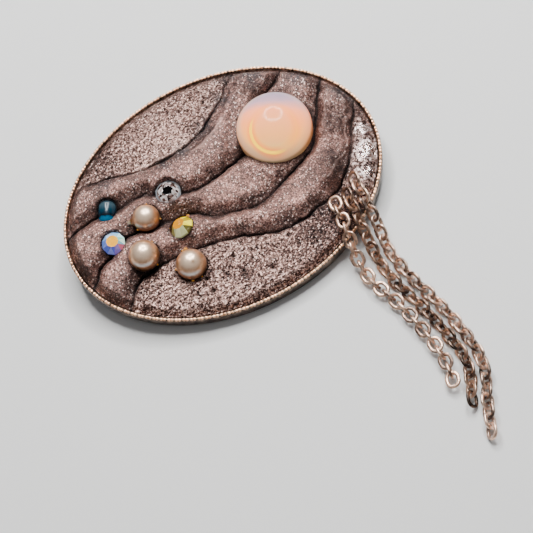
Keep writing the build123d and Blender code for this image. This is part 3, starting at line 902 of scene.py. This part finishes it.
def make_pearl(name, material):
    """A pearl. The upper one ends in a small nib."""
    middle, radius = pearl_middle(name)
    points, faces = lathe(arc(0.0, 0.0, radius, half_turn(PEARL_POINTS)), PEARL_SIDES)
    own = points / radius
    height, down = own[:, 2], own @ direction(VIEW_DOWN)
    from_spot = np.linalg.norm(own - PEARL_SPOTS.get(name, NO_SPOT), axis=1)
    # A pale band of painted reflection on the viewer's side
    sheen = bell((height - SHEEN_HEIGHT) / SHEEN_SPREAD) * smooth((down - SHEEN_START) / SHEEN_REACH)
    marks = dict(height=height, sheen=sheen, spot=bell(from_spot / SPOT_SIZE), tip=np.zeros(len(points)))
    if name == "pearl_upper":
        nib = direction(NIB_HEADING)
        facing = np.clip(own @ nib, 0, 1)
        reach = NIB_ROOT * radius + NIB_LENGTH - radius
        marks["tip"] = np.clip(1 - np.arccos(facing) / NIB_ANGLE, 0, 1) ** 1.5
        points = points + nib * (reach * marks["tip"] * facing)[:, None]
    pearl = mesh_object(name + "_bead", to_part(points + middle), faces, material)
    add_marks(pearl, marks)
    settle(pearl, "pearl", name)


def make_glue(material):
    """Small uneven drops of glue that were pressed out beside the set pieces."""
    points, faces = [], []
    for k, (name, heading, height, size) in enumerate(GLUE_DROPS):
        middle, radius = pearl_middle(name) if name in PEARLS else stone_middle(name)[::2]
        outwards = math.sqrt(1 - height * height) * direction(heading) + (0, 0, height)
        drop, drop_faces = lathe(arc(0.0, 0.0, size, half_turn(DROP_POINTS)), DROP_SIDES)
        uneven = 0.75 + 0.5 * lumps(drop[:, 0] + 3 * k, drop[:, 1] + drop[:, 2], size, 5 + k)
        faces += [tuple(corner + k * len(drop) for corner in face) for face in drop_faces]
        points.append(drop * uneven[:, None] + middle + (radius + 0.2 * size) * outwards)
    settle(mesh_object("glue_drops", to_part(np.vstack(points)), faces, material), "yellow_crystal")


def cut_stone(name, table_share, material, slot, colours=None):
    """A stone with a table, two rounds of crown facets, a girdle and a faceted back."""
    middle, axes, radius = stone_middle(name)
    order = np.arange(STONE_SIDES)

    def corners(share, level, turn=0.0):
        angles = (order + turn) * 2 * np.pi / STONE_SIDES
        return np.stack([share * radius * np.cos(angles), share * radius * np.sin(angles),
                         np.full(STONE_SIDES, level)], -1)

    points = np.vstack([
        corners(table_share, CROWN_HEIGHT, 0.5), corners(1, 0.0), corners(1, -STONE_GIRDLE),
        corners(CULET, -STONE_GIRDLE - BACK_HEIGHT),
    ])
    table, girdle, foot, culet = (order + k * STONE_SIDES for k in range(4))
    faces = [tuple(table), tuple(culet[::-1])]
    for k, n in zip(order, np.roll(order, -1)):
        faces.append((girdle[k], girdle[n], table[k]))
        faces.append((table[k], girdle[n], table[n]))
        faces.append((girdle[k], foot[k], foot[n], girdle[n]))
        faces.append((foot[k], culet[k], culet[n], foot[n]))
    stone = mesh_object(name + "_cut", to_part(points @ axes.T + middle), faces, material, smooth=False)
    if colours:
        layer = stone.data.attributes.new("tone", "FLOAT_COLOR", "FACE")
        for value, face in zip(layer.data, faces):
            centre = points[list(face)].mean(0) @ axes.T
            flat = len(face) == STONE_SIDES
            value.color = (*colours(centre, flat), 1.0 - flat)
    settle(stone, slot, name)


def make_bead(material):
    """The teal bead: a short rod with round edges, lying on its side."""
    axes, low, high = BEAD
    middle, half = (low + high) / 2, (high - low) / 2
    flat, end = half[1] - BEAD_EDGE, half[0] - BEAD_EDGE
    below, above = np.split(half_turn(BEAD_POINTS), 2)
    profile = [(0.0, -half[0]), *arc(flat, -end, BEAD_EDGE, below), *arc(flat, end, BEAD_EDGE, above),
               (0.0, half[0])]
    points, faces = lathe(profile, BEAD_SIDES)
    lying = points[:, [2, 0, 1]]
    bead = mesh_object("teal_glass", to_part((lying + middle) @ axes.T), faces, material)
    settle(bead, "teal_glass", "teal_bead")


def link_frames(node):
    """Middle, long axis and flat axis of each link of a strand, in the part's own frame."""
    corners, owner = np.unique(node_points(node).round(4), axis=0, return_inverse=True)
    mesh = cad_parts[node].data
    edges = np.zeros(2 * len(mesh.edges), int)
    mesh.edges.foreach_get("vertices", edges)
    edges = owner.ravel()[edges].reshape(-1, 2)
    label = np.arange(len(corners))
    while True:
        lowest = label.copy()
        np.minimum.at(lowest, edges[:, 0], label[edges[:, 1]])
        np.minimum.at(lowest, edges[:, 1], label[edges[:, 0]])
        lowest = lowest[lowest]
        if (lowest == label).all():
            break
        label = lowest
    frames = []
    for mark in np.unique(label):
        link = corners[label == mark]
        middle = link.mean(0)
        axes = np.linalg.svd(link - middle, full_matrices=False)[2]
        frames.append((middle, axes[0], axes[2]))
    return frames


def squared(value):
    """A sine or cosine that makes a squarer round."""
    return np.sign(value) * np.abs(value) ** LINK_SQUARENESS


def link_shape():
    """One link of flattened wire, long along X and lying in the XY plane."""
    straight, bend = (LINK_LENGTH - LINK_WIDTH) / 2, (LINK_WIDTH - LINK_WIRE) / 2
    turns = (np.arange(LINK_TURNS) + 0.5) * 2 * np.pi / LINK_TURNS
    sides = (np.arange(LINK_SIDES) + 0.5) * 2 * np.pi / LINK_SIDES
    breadth, lift = squared(np.cos(sides)) * LINK_WIRE / 2, squared(np.sin(sides)) * LINK_THICKNESS / 2
    rings = []
    for turn in turns:
        outwards = np.array([math.cos(turn), math.sin(turn), 0.0])
        middle = bend * outwards + (math.copysign(straight, outwards[0]), 0, 0)
        rings.append(middle + breadth[:, None] * outwards + lift[:, None] * (0, 0, 1))
    faces = ring_faces(len(rings), len(sides), joined=True)
    return mesh_object("link", np.vstack(rings), [face[::-1] for face in faces])


def make_strand(node, link, material):
    """A strand of chain: the link set on every place that the strand has."""
    middles, *axes = (np.array(column) for column in zip(*link_frames(node)))
    places = mesh_object("link places", middles, [])
    for name, values in zip(("along", "flat"), axes):
        layer = places.data.attributes.new(name, "FLOAT_VECTOR", "POINT")
        layer.data.foreach_set("vector", values.ravel())
    growth = Growth("chain links", Link=link)
    along, flat = (
        growth.node("GeometryNodeInputNamedAttribute", {"Name": name}, data_type="FLOAT_VECTOR")
        for name in ("along", "flat"))
    shape = growth.node("GeometryNodeObjectInfo", {"Object": growth.given("Link")}, "Geometry")
    links = growth.instances(growth.given("Geometry"), shape, growth.facing(flat, along))
    tone = growth.node("FunctionNodeRandomValue", {"Seed": 5}, 1, data_type="FLOAT")
    inputs = {"Geometry": links, "Name": "tone", "Value": tone}
    toned = growth.node("GeometryNodeStoreNamedAttribute", inputs, data_type="FLOAT", domain="INSTANCE")
    growth.finish(toned, material)
    settle(growth.grown(places, node + "_links"), "chain_metal", node)


def clay_finish():
    """Dark clay dusted with mica: fine flakes on the folds, coarse crumbs in the crescents, and painted
    shade, painted light and painted highlights.
    """
    f = Finish("metal clay")
    rough, grain, crease, hollow, lip, pocket = f.attributes("rough grain crease hollow lip pocket")
    foil, gloss, shade, bloom, fleck, contrast = f.attributes("foil gloss shade bloom fleck contrast")
    along_rim = {0: f.place(), "Rotation": (0, 0, math.radians(-20)), "Scale": (0.75, 1, 1)}
    brushed = f.node("ShaderNodeMapping", along_rim)
    fine, coarse = f.cells(FLAKE_SIZE), f.cells(CRUMB_FLAKE_SIZE, place=brushed)
    facets = f.cells(FOIL_FACET_SIZE)
    cloud = f.noise(3.5, 4, 0.6).ramp(0.32, 0.68)
    grit = f.noise(0.28, 4, 0.75, place=brushed).ramp(0.30, 0.70)
    # Tone of the mica on the folds, lighter where painted light lies
    mica_and_painted_light = cloud * 0.22 + grit * 0.27 + f.part(fine, "X") * 0.50 + bloom * 0.12
    folds = f.ramp(mica_and_painted_light, [
        (0.10, (0.042, 0.030, 0.029)), (0.33, (0.104, 0.066, 0.059)), (0.56, (0.215, 0.121, 0.102)),
        (0.76, (0.45, 0.235, 0.19)), (0.93, (0.94, 0.53, 0.43))])
    crumb_and_painted_shade = grain * 0.25 + f.part(coarse, "X") * 0.40 + f.part(fine, "Z") * 0.35
    # Lighter crumbs in places, and painted shade that darkens the crumbs in shaded places
    crumb_and_painted_shade = (crumb_and_painted_shade + gloss * 0.10 - shade * 0.26 - CRUMB_MIDDLE) * contrast + CRUMB_MIDDLE
    crescents = f.ramp(crumb_and_painted_shade, [
        (0.18, (0.024, 0.016, 0.015)), (0.40, (0.095, 0.056, 0.048)), (0.58, (0.25, 0.142, 0.118)),
        (0.80, (1.0, 0.66, 0.55))])
    # The foil's own silver, with painted glints on its crumples and painted shade in the cracks between
    # them
    crumple = f.noise(0.38, 4, 0.7) * 0.58 + f.part(facets, "Z") * 0.22 + f.part(fine, "Y") * 0.20
    silver = f.ramp(crumple + foil * 0.12, [
        (0.46, (0.010, 0.007, 0.007)), (0.53, (0.18, 0.105, 0.092)), (0.60, (0.70, 0.49, 0.44)),
        (0.68, (1.0, 0.87, 0.83))])
    flecks = fleck * f.noise(0.5, 3).ramp(0.32, 0.58) * 0.80
    sparks = f.part(fine, "Y").ramp(0.930, 0.965) * 0.80
    # Painted shade in the grooves and in the shaded places, lessened where painted light lies
    painted_hollow_shade = (hollow * (0.62 - bloom * 0.25)).most(shade * (1.0 - rough) * 0.74)
    # Over the folds and crescents lie the foil, the painted highlight of the ridges, grey flecks, bright
    # flakes, painted shade and the painted shade of the creases
    base = f.over(
        f.mix(rough, folds, crescents),
        ((foil * 1.5).least(1.0), silver),
        # Painted highlight along the ridges
        (lip * 0.55, (0.60, 0.37, 0.31)),
        (flecks, (0.055, 0.060, 0.067)),
        (sparks, (1.0, 0.76, 0.68)),
        # Painted shade in the grooves, in shaded places and round the set pieces
        ((painted_hollow_shade + pocket * 0.65).least(0.88), (0.016, 0.011, 0.011)),
        # Painted shade: the creases nearly black
        ((crease * 4.0).least(1.0) * 0.9, (0.006, 0.005, 0.005)),
    )
    tilt = f.vector("SUBTRACT", f.mix(foil, f.mix(rough, fine, coarse), facets), (0.5, 0.5, 0.5))
    tilt = f.vector("MULTIPLY", tilt, rough * 0.55 + 0.40 - foil * 0.20)
    bumps = f.bump(f.noise(0.20, 4, 0.8), 0.09)
    normal = f.vector("NORMALIZE", f.vector("ADD", bumps, tilt))
    return f.shader(Base_Color=base, Metallic=0.85, Roughness=0.46 - foil * 0.24, Normal=normal)


def metal_finish(name, dark, bright, low, high, tone=0.0):
    """Antiqued metal: dark where it is dirty, bright where it is rubbed."""
    f = Finish(name)
    worn = f.noise(0.9, 3, 0.6)
    if tone:
        worn = worn + f.attribute("tone") * tone
    base = f.mix(worn.ramp(low, high), dark, bright)
    normal = f.bump(f.noise(0.25, 3), 0.02, 0.4)
    return f.shader(Base_Color=base, Metallic=1.0, Roughness=0.33, Normal=normal)


def steel_finish():
    """Bright steel, more worn in places."""
    f = Finish("pin steel")
    worn = f.noise(0.6).ramp(0.2, 0.8, 0.25, 0.4)
    return f.shader(Base_Color=(0.55, 0.54, 0.53), Metallic=1.0, Roughness=worn)


def moon_finish():
    """Milky glass painted with light: a painted reflection lavender at its far edge, a painted glow peach
    in its middle, and a painted caustic ring with a warm halo, all glowing by emission.
    """
    f = Finish("moon opal")
    up, right = (f.along(MOON_MIDDLE, direction(heading), MOON_DIAMETER / 2)
                 for heading in (VIEW_UP, VIEW_RIGHT))
    cloudy = f.noise(1.6, 2) * 0.08
    # Painted light from the near edge to the far one: yellow, orange and peach as a painted glow of light
    # through the glass, lavender and blue at the far edge as a painted reflection
    base = f.ramp(up * 0.5 + 0.46 + cloudy, [
        (0.0, (0.46, 0.50, 0.24)), (0.13, (0.80, 0.62, 0.20)), (0.27, (1.0, 0.50, 0.10)),
        (0.50, (1.0, 0.37, 0.12)), (0.64, (0.90, 0.34, 0.18)), (0.78, (0.38, 0.28, 0.35)),
        (1.0, (0.13, 0.17, 0.31))])
    x, y = right - RING_RIGHT, up - RING_UP
    reach = (x * x + y * y) ** 0.5
    rim = (right * right + up * up) ** 0.5
    edge = (rim.ramp(0.74, 1.0) * (0.65 - right * 0.3 - up * 0.2)).least(0.75)
    side = (y * -0.70 + x * -0.70).ramp(0.10, 0.50, 0.03, 1.0)
    # The line and the halo round it are the painted caustic of the ring light
    line = reach.close_to(RING_RADIUS, RING_SPREAD) * side
    painted_halo = reach.close_to(HALO_RADIUS, HALO_SPREAD) * (side * 0.65 + 0.35)
    base = f.over(
        base,
        (reach.ramp(0.36, 0.58, 0.40, 0.0), (0.66, 0.36, 0.19)),
        (edge, (0.48, 0.44, 0.34)),
        (painted_halo * 0.75, (1.0, 0.30, 0.0)),
        (line, (0.95, 0.60, 0.0)),
    )
    # The moon glows by emission as painted light, most along the painted caustic line and fading at its
    # very rim
    glow = f.over(
        f.mix(1.0, base, (2.0, 1.1, 0.80), "MULTIPLY"),
        (line, (3.0, 1.8, 0.0)),
        (rim.ramp(0.965, 1.0) * 0.8, (0.0, 0.0, 0.0)),
    )
    return f.shader(Base_Color=base, Roughness=0.14, Specular_IOR_Level=0.16,
                    Emission_Color=glow, Emission_Strength=0.70)


def pearl_finish():
    """Peach pearl with painted light: painted shade brown below, a painted highlight cream on top, and a
    pale blue painted reflection towards the viewer.
    """
    f = Finish("pearl")
    cloud = f.noise(1.2, 3, 0.6).ramp(0.3, 0.7)
    height, sheen, spot, tip = f.attributes("height sheen spot tip")
    base = f.over(
        f.mix(cloud, (0.66, 0.29, 0.12), (1.0, 0.58, 0.33)),
        # Painted highlight cream on top, then painted shade brown low down
        (height.ramp(0.60, 0.94) * 0.80, (1.0, 0.77, 0.57)),
        (height.ramp(-0.10, 0.68, 1.0, 0.0), (0.17, 0.070, 0.024)),
        # Pale blue painted reflection on the viewer's side
        (sheen * 0.62, (0.42, 0.60, 0.68)),
        (spot * 0.8, (0.32, 0.15, 0.06)),
        (tip.ramp(0.02, 0.20), (0.30, 0.11, 0.025)),
        # The nib's pale end is a painted highlight
        (tip.ramp(0.25, 0.60), (1.0, 0.78, 0.50)),
    )
    normal = f.bump(f.noise(0.6, 3), 0.04, 0.3)
    return f.shader(Base_Color=base, Metallic=0.70, Roughness=0.32, Coat_Weight=0.4,
                    Coat_Roughness=0.12, Normal=normal)


def glue_finish():
    """Clear glue, amber in places, with a faint painted glow by emission."""
    f = Finish("amber glue")
    base = f.mix(f.noise(0.3, 2).ramp(0.3, 0.7), (0.42, 0.15, 0.015), (0.85, 0.40, 0.07))
    # The faint emission is a painted glow
    return f.shader(Base_Color=base, Roughness=0.18, Emission_Color=base, Emission_Strength=0.12)


def crystal_finish(name):
    """Each facet has its own tone, the stone's hue with painted light and painted shade from facet to
    facet, and a gloss in the tone's alpha; the tone glows by emission as painted light.
    """
    f = Finish(name)
    dusty = f.noise(0.5, 2).ramp(0.50, 0.80) * 0.12
    tone = f.mix(dusty, f.attribute("tone", "Color"), (0.85, 0.85, 0.80))
    # The emission of the facet tones is a painted glow
    return f.shader(Base_Color=tone, Roughness=0.25, Specular_IOR_Level=0.05, Coat_Roughness=0.02,
                    Coat_Weight=f.attribute("tone", "Alpha") * 0.5,
                    Emission_Color=tone, Emission_Strength=0.35)


def clear_finish():
    """A foiled stone: mottled silver of painted glints round a black centre of painted reflection, with a
    glassy rim, glowing a little by emission as painted light.
    """
    f = Finish("clear crystal")
    middle, axes, radius = stone_middle("clear_stone")
    x, y = f.along(middle, axes[:, 0], radius), f.along(middle, axes[:, 1], radius)
    reach = (x * x + y * y) ** 0.5
    # The mottle is painted glints of the foil
    mottle = f.part(f.cells(FOIL_FACET_SIZE), "X") * 0.7 + f.noise(0.25, 3, 0.7) * 0.45
    base = f.ramp(mottle, [
        (0.32, (0.035, 0.020, 0.017)), (0.46, (0.25, 0.15, 0.125)), (0.58, (0.70, 0.58, 0.54)),
        (0.70, (1.0, 0.97, 0.96))])
    # The black centre is a painted dark reflection
    centre = (reach + (f.noise(0.5, 2) - 0.5) * 0.5).ramp(0.36, 0.44, 1.0, 0.0)
    base = f.over(
        base,
        (reach.ramp(0.78, 0.90), (0.36, 0.40, 0.43)),
        (centre, (0.002, 0.002, 0.002)),
    )
    # The emission is a painted glow
    return f.shader(Base_Color=base, Metallic=0.6 - centre * 0.6, Roughness=0.20 + centre * 0.5,
                    Coat_Weight=0.5 - centre * 0.5, Coat_Roughness=0.03, Specular_IOR_Level=0.0,
                    Emission_Color=base, Emission_Strength=0.25)


def teal_finish():
    """Teal glass with painted light: a painted glow bright at its lower end, painted shade nearly black
    above it and a painted highlight paler near its upper end.
    """
    f = Finish("teal glass")
    axes, low, high = BEAD
    middle = axes @ ((low + high) / 2)
    share = f.along(middle, axes[:, 0], high[0] - low[0]) + 0.5
    streaks = f.noise(0.5, 2) * 0.10
    # Painted light along the bead: a painted glow at its lower end, painted shade above it and a painted
    # highlight near its upper end
    base = f.ramp(share + streaks, [
        (0.0, (0.0, 0.30, 0.60)), (0.17, (0.0, 0.18, 0.36)), (0.27, (0.0, 0.001, 0.002)),
        (0.36, (0.0, 0.010, 0.020)), (0.55, (0.003, 0.030, 0.052)), (0.78, (0.035, 0.070, 0.090)),
        (1.0, (0.001, 0.008, 0.013))])
    # The emission is a painted glow
    return f.shader(Base_Color=base, Roughness=0.18, Specular_IOR_Level=0.4, Emission_Color=base,
                    Emission_Strength=0.2)


def facet_tone(table, rim):
    """The table has its own colour, and the facets round it that of the nearest heading."""
    def tone(centre, flat):
        heading = math.degrees(math.atan2(centre[1], centre[0]))
        near = min(rim, key=lambda place: abs((heading - place + 180) % 360 - 180))
        return table if flat else rim[near]
    return tone


# Facet tones: the stones' hues, with painted light and painted shade making some facets lighter and some
# darker
RAINBOW_TONE = facet_tone((0.85, 0.38, 0.0), {
    72: (0.25, 0.48, 0.80), 36: (0.20, 0.55, 0.68), 18: (0.55, 0.85, 0.85), 0: (0.16, 0.60, 0.46),
    -18: (0.60, 0.85, 0.70), -36: (0.18, 0.42, 0.50), -60: (0.58, 0.14, 0.20), -80: (0.24, 0.16, 0.52),
    -108: (0.10, 0.12, 0.55), -126: (0.20, 0.24, 0.66), -150: (0.085, 0.12, 0.48),
    180: (0.16, 0.22, 0.60), 150: (0.10, 0.17, 0.50), 125: (0.22, 0.42, 0.72), 100: (0.42, 0.62, 0.85)})
YELLOW_TONE = facet_tone((0.52, 0.20, 0.0), {
    108: (0.42, 0.19, 0.0), 72: (0.62, 0.34, 0.0), 36: (0.80, 0.62, 0.0), 144: (0.38, 0.17, 0.02),
    18: (0.34, 0.25, 0.0), 0: (1.0, 0.80, 0.0), -18: (1.0, 0.84, 0.02), -36: (0.85, 0.70, 0.0),
    -54: (0.10, 0.085, 0.02), -72: (0.60, 0.60, 0.25), -90: (0.40, 0.42, 0.20),
    -108: (0.10, 0.10, 0.045), -126: (0.55, 0.57, 0.30), -144: (0.42, 0.42, 0.20),
    180: (0.24, 0.20, 0.06)})


def make_floor():
    """A plain pale floor."""
    bpy.ops.mesh.primitive_plane_add(size=FLOOR_SIZE)
    floor = bpy.context.object
    floor.data.materials.append(Finish("floor").shader(Base_Color=FLOOR_COLOUR, Roughness=0.7))


def make_light():
    """A disk light that shines only outside a share of its radius, which makes it a ring."""
    data = bpy.data.lights.new("ring", "AREA")
    data.shape = "DISK"
    data.size = LIGHT_SIZE
    data.energy = LIGHT_POWER
    data.use_nodes = True
    nodes = Nodes(data.node_tree)
    spot = nodes.node("ShaderNodeNewGeometry", output="Parametric")
    reach = nodes.node("ShaderNodeVectorMath", {0: spot, 1: (0.5, 0.5, 0.0)}, 1, operation="DISTANCE")
    lit = reach.math("GREATER_THAN", LIGHT_HOLE / 2)
    nodes.feed(data.node_tree.nodes["Emission"].inputs["Strength"], lit)
    lamp = new_object("ring", data)
    lamp.location = LIGHT_PLACE
    lamp.rotation_mode = "QUATERNION"
    lamp.rotation_quaternion = (-Vector(LIGHT_PLACE)).to_track_quat("-Z", "Y")


def make_sky():
    """A plain sky that is brighter above."""
    world = bpy.data.worlds.new("studio")
    world.use_nodes = True
    nodes = Nodes(world.node_tree)
    heading = nodes.node("ShaderNodeTexCoord", output="Generated")
    up = nodes.node("ShaderNodeSeparateXYZ", {0: heading}, "Z")
    background = world.node_tree.nodes["Background"]
    nodes.feed(background.inputs["Color"], nodes.node("ShaderNodeValToRGB", {0: up}, stops=SKY))
    nodes.feed(background.inputs["Strength"], SKY_STRENGTH)
    bpy.context.scene.world = world


def make_camera():
    """The photograph's view: the camera looks down at the brooch and is rolled."""
    data = bpy.data.cameras.new("camera")
    data.lens = CAMERA_LENS
    data.clip_start, data.clip_end = CAMERA_CLIP
    camera = new_object("camera", data)
    azimuth, elevation = math.radians(CAMERA_AZIMUTH), math.radians(CAMERA_ELEVATION)
    back = Vector((math.sin(azimuth) * math.cos(elevation), -math.cos(azimuth) * math.cos(elevation),
                   math.sin(elevation)))
    level = Vector((math.cos(azimuth), math.sin(azimuth), 0.0))
    upright = Matrix((level, back.cross(level), back)).transposed().to_4x4()
    aim = Vector(CAMERA_AIM) + back * CAMERA_DISTANCE
    roll = Matrix.Rotation(-math.radians(CAMERA_ROLL), 4, "Z")
    camera.matrix_world = Matrix.Translation(aim * MM) @ upright @ roll
    bpy.context.scene.camera = camera


make_clay(clay_finish())
make_tray(metal_finish("tray metal", (0.055, 0.040, 0.033), (0.25, 0.18, 0.14), 0.30, 0.75))
make_teeth(metal_finish("rubbed metal", (0.36, 0.17, 0.085), (0.92, 0.53, 0.32), 0.25, 0.55))
make_moon(moon_finish())
pearl = pearl_finish()
for name in PEARLS:
    make_pearl(name, pearl)
make_glue(glue_finish())
cut_stone("clear_stone", CLEAR_TABLE, clear_finish(), "clear_crystal")
for colour, tones in (("rainbow", RAINBOW_TONE), ("yellow", YELLOW_TONE)):
    finish = crystal_finish(colour + " crystal")
    cut_stone(colour + "_stone", STONE_TABLE, finish, colour + "_crystal", tones)
make_bead(teal_finish())
link = link_shape()
for node, (dark, bright) in STRANDS.items():
    make_strand(node, link, metal_finish(node + " metal", dark, bright, 0.45, 0.85, tone=0.35))
bpy.data.objects.remove(link)
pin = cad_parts["pin_back"]
pin.data.materials.clear()
pin.data.materials.append(steel_finish())

make_floor()
make_light()
make_sky()
make_camera()
